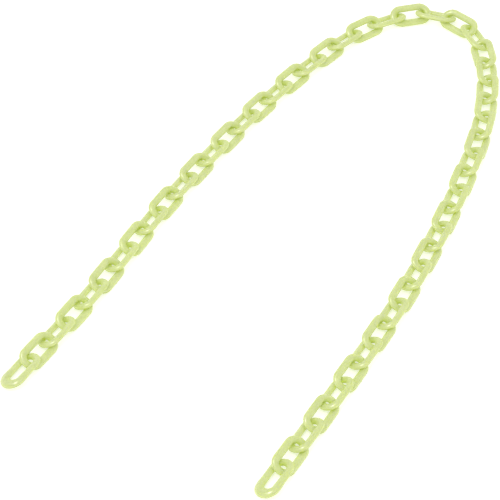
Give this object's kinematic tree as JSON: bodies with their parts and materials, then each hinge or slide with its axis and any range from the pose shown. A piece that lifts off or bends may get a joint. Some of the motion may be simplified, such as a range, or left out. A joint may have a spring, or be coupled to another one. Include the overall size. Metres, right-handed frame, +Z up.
{
  "type": "plastic barrier chain",
  "caption": "Pale luminous yellow-green plastic barrier chain of identical oval links, each swinging in the next, laid on the floor in a long hairpin with a free eye at each end.",
  "frame": {"origin": "on the floor, under the middle of the laid chain's bounding box", "axes": "+Z up from the floor; +Y from the two free ends towards the head of the hairpin, the longest way of the laid chain"},
  "size_m": [0.4328, 0.6122, 0.0117],
  "materials": {
    "luminous_plastic": "pale luminous yellow-green, slightly translucent, soft gloss"
  },
  "bodies": {
    "link_01": {"link_01": "luminous_plastic"},
    "link_02": {"link_02": "luminous_plastic"},
    "link_03": {"link_03": "luminous_plastic"},
    "link_04": {"link_04": "luminous_plastic"},
    "link_05": {"link_05": "luminous_plastic"},
    "link_06": {"link_06": "luminous_plastic"},
    "link_07": {"link_07": "luminous_plastic"},
    "link_08": {"link_08": "luminous_plastic"},
    "link_09": {"link_09": "luminous_plastic"},
    "link_10": {"link_10": "luminous_plastic"},
    "link_11": {"link_11": "luminous_plastic"},
    "link_12": {"link_12": "luminous_plastic"},
    "link_13": {"link_13": "luminous_plastic"},
    "link_14": {"link_14": "luminous_plastic"},
    "link_15": {"link_15": "luminous_plastic"},
    "link_16": {"link_16": "luminous_plastic"},
    "link_17": {"link_17": "luminous_plastic"},
    "link_18": {"link_18": "luminous_plastic"},
    "link_19": {"link_19": "luminous_plastic"},
    "link_20": {"link_20": "luminous_plastic"},
    "link_21": {"link_21": "luminous_plastic"},
    "link_22": {"link_22": "luminous_plastic"},
    "link_23": {"link_23": "luminous_plastic"},
    "link_24": {"link_24": "luminous_plastic"},
    "link_25": {"link_25": "luminous_plastic"},
    "link_26": {"link_26": "luminous_plastic"},
    "link_27": {"link_27": "luminous_plastic"},
    "link_28": {"link_28": "luminous_plastic"},
    "link_29": {"link_29": "luminous_plastic"},
    "link_30": {"link_30": "luminous_plastic"},
    "link_31": {"link_31": "luminous_plastic"},
    "link_32": {"link_32": "luminous_plastic"},
    "link_33": {"link_33": "luminous_plastic"},
    "link_34": {"link_34": "luminous_plastic"},
    "link_35": {"link_35": "luminous_plastic"},
    "link_36": {"link_36": "luminous_plastic"},
    "link_37": {"link_37": "luminous_plastic"},
    "link_38": {"link_38": "luminous_plastic"},
    "link_39": {"link_39": "luminous_plastic"},
    "link_40": {"link_40": "luminous_plastic"},
    "link_41": {"link_41": "luminous_plastic"},
    "link_42": {"link_42": "luminous_plastic"},
    "link_43": {"link_43": "luminous_plastic"},
    "link_44": {"link_44": "luminous_plastic"},
    "link_45": {"link_45": "luminous_plastic"},
    "link_46": {"link_46": "luminous_plastic"},
    "link_47": {"link_47": "luminous_plastic"},
    "link_48": {"link_48": "luminous_plastic"},
    "link_49": {"link_49": "luminous_plastic"},
    "link_50": {"link_50": "luminous_plastic"}
  },
  "joints": [
    {"name": "swing_01", "type": "hinge", "parent": "link_02", "child": "link_01", "pos_m": [-0.19644, -0.17361, 0.00564], "axis": [0.292, -0.1308, -0.9474], "range_deg": [-75, 75]},
    {"name": "swing_02", "type": "hinge", "parent": "link_03", "child": "link_02", "pos_m": [-0.18345, -0.15138, 0.00582], "axis": [-0.3828, 0.2293, -0.8949], "range_deg": [-75, 75]},
    {"name": "swing_03", "type": "hinge", "parent": "link_04", "child": "link_03", "pos_m": [-0.17045, -0.12921, 0.00549], "axis": [-0.3581, 0.2092, 0.91], "range_deg": [-75, 75]},
    {"name": "swing_04", "type": "hinge", "parent": "link_05", "child": "link_04", "pos_m": [-0.15774, -0.10688, 0.00549], "axis": [0.3608, -0.2044, 0.91], "range_deg": [-75, 75]},
    {"name": "swing_05", "type": "hinge", "parent": "link_06", "child": "link_05", "pos_m": [-0.14559, -0.08423, 0.00549], "axis": [0.3661, -0.1948, -0.91], "range_deg": [-75, 75]},
    {"name": "swing_06", "type": "hinge", "parent": "link_07", "child": "link_06", "pos_m": [-0.13391, -0.06134, 0.00549], "axis": [-0.3699, 0.1875, -0.91], "range_deg": [-75, 75]},
    {"name": "swing_07", "type": "hinge", "parent": "link_08", "child": "link_07", "pos_m": [-0.12248, -0.03832, 0.00549], "axis": [-0.3716, 0.1841, 0.91], "range_deg": [-75, 75]},
    {"name": "swing_08", "type": "hinge", "parent": "link_09", "child": "link_08", "pos_m": [-0.11105, -0.0153, 0.0055], "axis": [0.3714, -0.1844, 0.91], "range_deg": [-75, 75]},
    {"name": "swing_09", "type": "hinge", "parent": "link_10", "child": "link_09", "pos_m": [-0.09939, 0.0076, 0.00549], "axis": [0.3692, -0.1888, -0.91], "range_deg": [-75, 75]},
    {"name": "swing_10", "type": "hinge", "parent": "link_11", "child": "link_10", "pos_m": [-0.08725, 0.03025, 0.00553], "axis": [-0.3649, 0.1971, -0.91], "range_deg": [-75, 75]},
    {"name": "swing_11", "type": "hinge", "parent": "link_12", "child": "link_11", "pos_m": [-0.07454, 0.05259, 0.00549], "axis": [-0.3597, 0.2064, 0.91], "range_deg": [-75, 75]},
    {"name": "swing_12", "type": "hinge", "parent": "link_13", "child": "link_12", "pos_m": [-0.06156, 0.07477, 0.00551], "axis": [0.3577, -0.2098, 0.91], "range_deg": [-75, 75]},
    {"name": "swing_13", "type": "hinge", "parent": "link_14", "child": "link_13", "pos_m": [-0.04832, 0.0968, 0.00549], "axis": [0.3551, -0.2142, -0.91], "range_deg": [-75, 75]},
    {"name": "swing_14", "type": "hinge", "parent": "link_15", "child": "link_14", "pos_m": [-0.03474, 0.11862, 0.00552], "axis": [-0.3516, 0.2198, -0.91], "range_deg": [-75, 75]},
    {"name": "swing_15", "type": "hinge", "parent": "link_16", "child": "link_15", "pos_m": [-0.02069, 0.14014, 0.00549], "axis": [-0.3465, 0.2278, 0.91], "range_deg": [-75, 75]},
    {"name": "swing_16", "type": "hinge", "parent": "link_17", "child": "link_16", "pos_m": [-0.0061, 0.16129, 0.00553], "axis": [0.3406, -0.2366, 0.91], "range_deg": [-75, 75]},
    {"name": "swing_17", "type": "hinge", "parent": "link_18", "child": "link_17", "pos_m": [0.00902, 0.18207, 0.00549], "axis": [0.3345, -0.2451, -0.91], "range_deg": [-75, 75]},
    {"name": "swing_18", "type": "hinge", "parent": "link_19", "child": "link_18", "pos_m": [0.02461, 0.2025, 0.00554], "axis": [-0.3289, 0.2526, -0.91], "range_deg": [-75, 75]},
    {"name": "swing_19", "type": "hinge", "parent": "link_20", "child": "link_19", "pos_m": [0.04086, 0.22241, 0.00549], "axis": [-0.3201, 0.2636, 0.91], "range_deg": [-75, 75]},
    {"name": "swing_20", "type": "hinge", "parent": "link_21", "child": "link_20", "pos_m": [0.05744, 0.24205, 0.00557], "axis": [0.3163, -0.2682, 0.91], "range_deg": [-75, 75]},
    {"name": "swing_21", "type": "hinge", "parent": "link_22", "child": "link_21", "pos_m": [0.07547, 0.26035, 0.00549], "axis": [0.292, -0.2945, -0.91], "range_deg": [-75, 75]},
    {"name": "swing_22", "type": "hinge", "parent": "link_23", "child": "link_22", "pos_m": [0.0957, 0.27618, 0.00573], "axis": [-0.2497, 0.3311, -0.91], "range_deg": [-75, 75]},
    {"name": "swing_23", "type": "hinge", "parent": "link_24", "child": "link_23", "pos_m": [0.11823, 0.28849, 0.00549], "axis": [-0.1904, 0.3684, 0.91], "range_deg": [-75, 75]},
    {"name": "swing_24", "type": "hinge", "parent": "link_25", "child": "link_24", "pos_m": [0.14285, 0.29574, 0.00606], "axis": [0.1054, -0.4011, 0.91], "range_deg": [-75, 75]},
    {"name": "swing_26", "type": "hinge", "parent": "link_25", "child": "link_26", "pos_m": [0.17397, 0.28775, 0.00618], "axis": [-0.2652, -0.3188, 0.91], "range_deg": [-75, 75]},
    {"name": "swing_27", "type": "hinge", "parent": "link_26", "child": "link_27", "pos_m": [0.19258, 0.27026, 0.00549], "axis": [0.378, 0.1704, 0.91], "range_deg": [-75, 75]},
    {"name": "swing_28", "type": "hinge", "parent": "link_27", "child": "link_28", "pos_m": [0.20226, 0.24652, 0.00581], "axis": [0.41, 0.0623, -0.91], "range_deg": [-75, 75]},
    {"name": "swing_29", "type": "hinge", "parent": "link_28", "child": "link_29", "pos_m": [0.20567, 0.22106, 0.00549], "axis": [-0.4146, -0.0079, -0.91], "range_deg": [-75, 75]},
    {"name": "swing_30", "type": "hinge", "parent": "link_29", "child": "link_30", "pos_m": [0.20588, 0.19537, 0.00562], "axis": [-0.4139, 0.0257, 0.91], "range_deg": [-75, 75]},
    {"name": "swing_31", "type": "hinge", "parent": "link_30", "child": "link_31", "pos_m": [0.20402, 0.16974, 0.00549], "axis": [0.4107, -0.0577, 0.91], "range_deg": [-75, 75]},
    {"name": "swing_32", "type": "hinge", "parent": "link_31", "child": "link_32", "pos_m": [0.20025, 0.14432, 0.00559], "axis": [0.4068, -0.0806, -0.91], "range_deg": [-75, 75]},
    {"name": "swing_33", "type": "hinge", "parent": "link_32", "child": "link_33", "pos_m": [0.19502, 0.11916, 0.00549], "axis": [-0.4001, 0.109, -0.91], "range_deg": [-75, 75]},
    {"name": "swing_34", "type": "hinge", "parent": "link_33", "child": "link_34", "pos_m": [0.18814, 0.0944, 0.00553], "axis": [-0.3959, 0.1234, 0.91], "range_deg": [-75, 75]},
    {"name": "swing_35", "type": "hinge", "parent": "link_34", "child": "link_35", "pos_m": [0.18047, 0.06987, 0.00549], "axis": [0.395, -0.1263, 0.91], "range_deg": [-75, 75]},
    {"name": "swing_36", "type": "hinge", "parent": "link_35", "child": "link_36", "pos_m": [0.17258, 0.04541, 0.00552], "axis": [0.3926, -0.1337, -0.91], "range_deg": [-75, 75]},
    {"name": "swing_37", "type": "hinge", "parent": "link_36", "child": "link_37", "pos_m": [0.16423, 0.02111, 0.00549], "axis": [-0.3897, 0.1418, -0.91], "range_deg": [-75, 75]},
    {"name": "swing_38", "type": "hinge", "parent": "link_37", "child": "link_38", "pos_m": [0.15537, -0.00302, 0.00552], "axis": [-0.3868, 0.1495, 0.91], "range_deg": [-75, 75]},
    {"name": "swing_39", "type": "hinge", "parent": "link_38", "child": "link_39", "pos_m": [0.14605, -0.02697, 0.00549], "axis": [0.384, -0.1566, 0.91], "range_deg": [-75, 75]},
    {"name": "swing_40", "type": "hinge", "parent": "link_39", "child": "link_40", "pos_m": [0.13629, -0.05074, 0.00553], "axis": [0.3811, -0.1634, -0.91], "range_deg": [-75, 75]},
    {"name": "swing_41", "type": "hinge", "parent": "link_40", "child": "link_41", "pos_m": [0.12609, -0.07433, 0.00549], "axis": [-0.3772, 0.1722, -0.91], "range_deg": [-75, 75]},
    {"name": "swing_42", "type": "hinge", "parent": "link_41", "child": "link_42", "pos_m": [0.11534, -0.09767, 0.00553], "axis": [-0.3728, 0.1816, 0.91], "range_deg": [-75, 75]},
    {"name": "swing_43", "type": "hinge", "parent": "link_42", "child": "link_43", "pos_m": [0.10403, -0.12075, 0.00549], "axis": [0.3697, -0.1879, 0.91], "range_deg": [-75, 75]},
    {"name": "swing_44", "type": "hinge", "parent": "link_43", "child": "link_44", "pos_m": [0.09234, -0.14364, 0.00551], "axis": [0.3671, -0.1929, -0.91], "range_deg": [-75, 75]},
    {"name": "swing_45", "type": "hinge", "parent": "link_44", "child": "link_45", "pos_m": [0.08037, -0.16638, 0.00549], "axis": [-0.3658, 0.1953, -0.91], "range_deg": [-75, 75]},
    {"name": "swing_46", "type": "hinge", "parent": "link_45", "child": "link_46", "pos_m": [0.06826, -0.18905, 0.00549], "axis": [-0.3655, 0.1959, 0.91], "range_deg": [-75, 75]},
    {"name": "swing_47", "type": "hinge", "parent": "link_46", "child": "link_47", "pos_m": [0.05612, -0.2117, 0.00549], "axis": [0.3654, -0.196, 0.91], "range_deg": [-75, 75]},
    {"name": "swing_48", "type": "hinge", "parent": "link_47", "child": "link_48", "pos_m": [0.04395, -0.23433, 0.0055], "axis": [0.3642, -0.1983, -0.91], "range_deg": [-75, 75]},
    {"name": "swing_49", "type": "hinge", "parent": "link_48", "child": "link_49", "pos_m": [0.03164, -0.25689, 0.00582], "axis": [-0.3904, 0.216, -0.8949], "range_deg": [-75, 75]},
    {"name": "swing_50", "type": "hinge", "parent": "link_49", "child": "link_50", "pos_m": [0.01944, -0.27956, 0.00563], "axis": [-0.2969, 0.1193, 0.9474], "range_deg": [-75, 75]}
  ]
}
